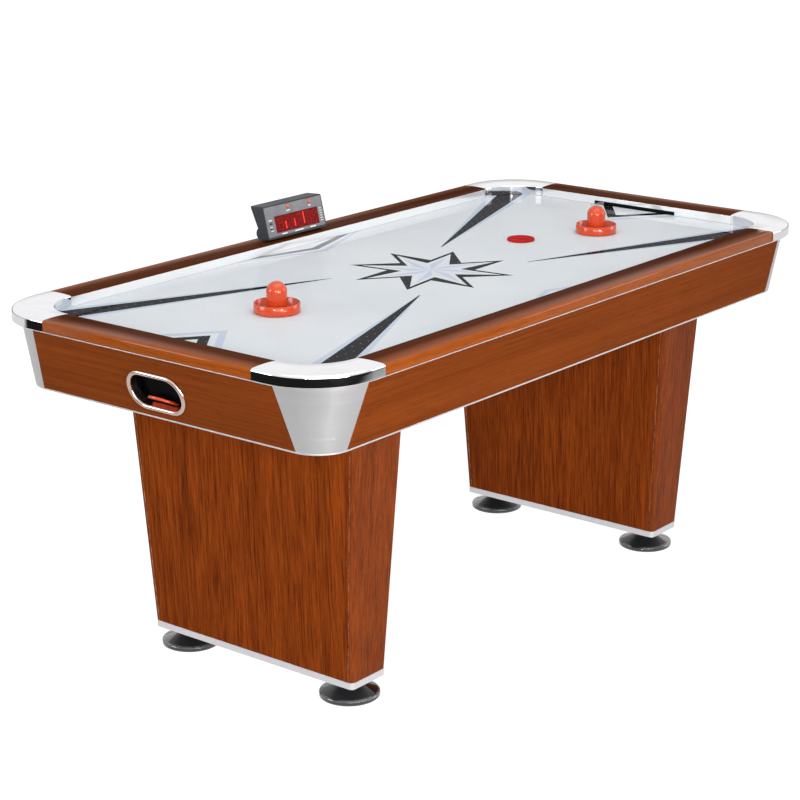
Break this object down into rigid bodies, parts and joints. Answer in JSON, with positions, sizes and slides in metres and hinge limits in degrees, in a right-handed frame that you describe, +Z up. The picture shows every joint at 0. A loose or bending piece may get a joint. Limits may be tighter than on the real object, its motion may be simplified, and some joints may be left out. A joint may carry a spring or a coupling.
{
  "type": "air hockey table",
  "caption": "Home air hockey table with wood-look rails, chrome corners, end puck returns, tapered pedestal legs, levelling feet, rail score unit, mallets and pucks.",
  "frame": {"origin": "on the floor under the centre of the table", "axes": "+X along the table towards the end that holds the far mallet, +Y across it towards the side that carries the score unit, +Z up"},
  "size_m": [1.829, 0.934, 0.8863],
  "materials": {
    "wood": "lacquered red-brown wood-grain board",
    "leg_wood": "lacquered wood-grain board",
    "chrome": "bright chrome plating on moulded plastic",
    "aluminium": "brushed",
    "white_board": "white glossy laminate on board",
    "panel": "raw board",
    "black_plastic": "satin black",
    "foot_plastic": "glossy black",
    "ring_metal": "polished champagne plating on moulded plastic",
    "mallet_plastic": "glossy orange red",
    "puck_plastic": "glossy red",
    "charcoal": "satin charcoal",
    "grey_face": "satin grey",
    "red_window": "dark red filter window",
    "button": "glossy coppery red",
    "steel": "satin"
  },
  "bodies": {
    "cabinet": {"apron_east": "wood", "apron_north": "wood", "apron_south": "wood", "apron_trim": "aluminium", "apron_west": "wood", "blower_housing": "black_plastic", "blower_motor": "steel", "bottom_panel": "panel", "corner_cap_ne": "chrome", "corner_cap_nw": "chrome", "corner_cap_se": "chrome", "corner_cap_sw": "chrome", "corner_cone_ne": "aluminium", "corner_cone_nw": "aluminium", "corner_cone_se": "aluminium", "corner_cone_sw": "aluminium", "intake_guard": "black_plastic", "leg_east_base": "aluminium", "leg_east_inner": "leg_wood", "leg_east_north": "leg_wood", "leg_east_outer": "leg_wood", "leg_east_south": "leg_wood", "leg_west_base": "aluminium", "leg_west_inner": "leg_wood", "leg_west_north": "leg_wood", "leg_west_outer": "leg_wood", "leg_west_south": "leg_wood", "liner_east": "white_board", "liner_north": "white_board", "liner_south": "white_board", "liner_west": "white_board", "playfield_panel": "white_board", "power_panel": "black_plastic", "power_socket": "black_plastic", "rail_east": "wood", "rail_north": "wood", "rail_south": "wood", "rail_trim": "aluminium", "rail_west": "wood", "return_cup_east": "black_plastic", "return_cup_west": "black_plastic", "return_ring_east": "ring_metal", "return_ring_west": "ring_metal", "score_bracket": "steel"},
    "impeller": {"blower_impeller": "black_plastic"},
    "score_unit": {"score_case": "charcoal", "score_face": "grey_face", "score_window": "red_window"},
    "score_button_left": {"score_button_left": "button"},
    "score_button_right": {"score_button_right": "button"},
    "clamp_knob": {"score_clamp_knob": "charcoal"},
    "rocker": {"power_rocker": "black_plastic"},
    "mallet_west": {"mallet_west": "mallet_plastic"},
    "mallet_east": {"mallet_east": "mallet_plastic"},
    "puck_play": {"puck_play": "puck_plastic"},
    "puck_return": {"puck_return": "puck_plastic"},
    "foot_sw": {"foot_sw": "foot_plastic"},
    "foot_se": {"foot_se": "foot_plastic"},
    "foot_nw": {"foot_nw": "foot_plastic"},
    "foot_ne": {"foot_ne": "foot_plastic"}
  },
  "joints": [
    {"name": "foot_sw_screw", "type": "slide", "parent": "cabinet", "child": "foot_sw", "axis": [0, 0, -1], "range_m": [0, 0.012]},
    {"name": "foot_se_screw", "type": "slide", "parent": "cabinet", "child": "foot_se", "axis": [0, 0, -1], "range_m": [0, 0.012]},
    {"name": "foot_nw_screw", "type": "slide", "parent": "cabinet", "child": "foot_nw", "axis": [0, 0, -1], "range_m": [0, 0.012]},
    {"name": "foot_ne_screw", "type": "slide", "parent": "cabinet", "child": "foot_ne", "axis": [0, 0, -1], "range_m": [0, 0.012]},
    {"name": "impeller_spin", "type": "hinge", "parent": "cabinet", "child": "impeller", "pos_m": [0, 0, 0.662], "axis": [0, 0, 1], "continuous": true},
    {"name": "score_tilt", "type": "hinge", "parent": "cabinet", "child": "score_unit", "pos_m": [0, 0.42509, 0.82138], "axis": [1, 0, 0], "range_deg": [-15, 1.5]},
    {"name": "button_left_press", "type": "slide", "parent": "score_unit", "child": "score_button_left", "axis": [0, 0.9703, -0.2419], "range_m": [0, 0.0015], "stiffness_N_per_m": 600, "springref_m": -0.001},
    {"name": "button_right_press", "type": "slide", "parent": "score_unit", "child": "score_button_right", "axis": [0, 0.9703, -0.2419], "range_m": [0, 0.0015], "stiffness_N_per_m": 600, "springref_m": -0.001},
    {"name": "clamp_knob_turn", "type": "hinge", "parent": "cabinet", "child": "clamp_knob", "pos_m": [0, 0.446, 0.8133], "axis": [0, 0, 1], "range_deg": [-180, 180]},
    {"name": "rocker_tilt", "type": "hinge", "parent": "cabinet", "child": "rocker", "pos_m": [0.3895, 0.44091, 0.712], "axis": [-1, 0, 0], "range_deg": [0, 16]},
    {"name": "mallet_west_glide", "type": "slide", "parent": "cabinet", "child": "mallet_west", "axis": [0, 1, 0], "range_m": [-0.3633, 0.3217]},
    {"name": "mallet_east_glide", "type": "slide", "parent": "cabinet", "child": "mallet_east", "axis": [0, 1, 0], "range_m": [-0.2691, 0.4159]},
    {"name": "puck_glide", "type": "slide", "parent": "cabinet", "child": "puck_play", "axis": [1, 0, 0], "range_m": [-0.78, 0.1]},
    {"name": "puck_return_lift", "type": "slide", "parent": "cabinet", "child": "puck_return", "axis": [-0.891, 0, 0.454], "range_m": [0, 0.05]}
  ]
}
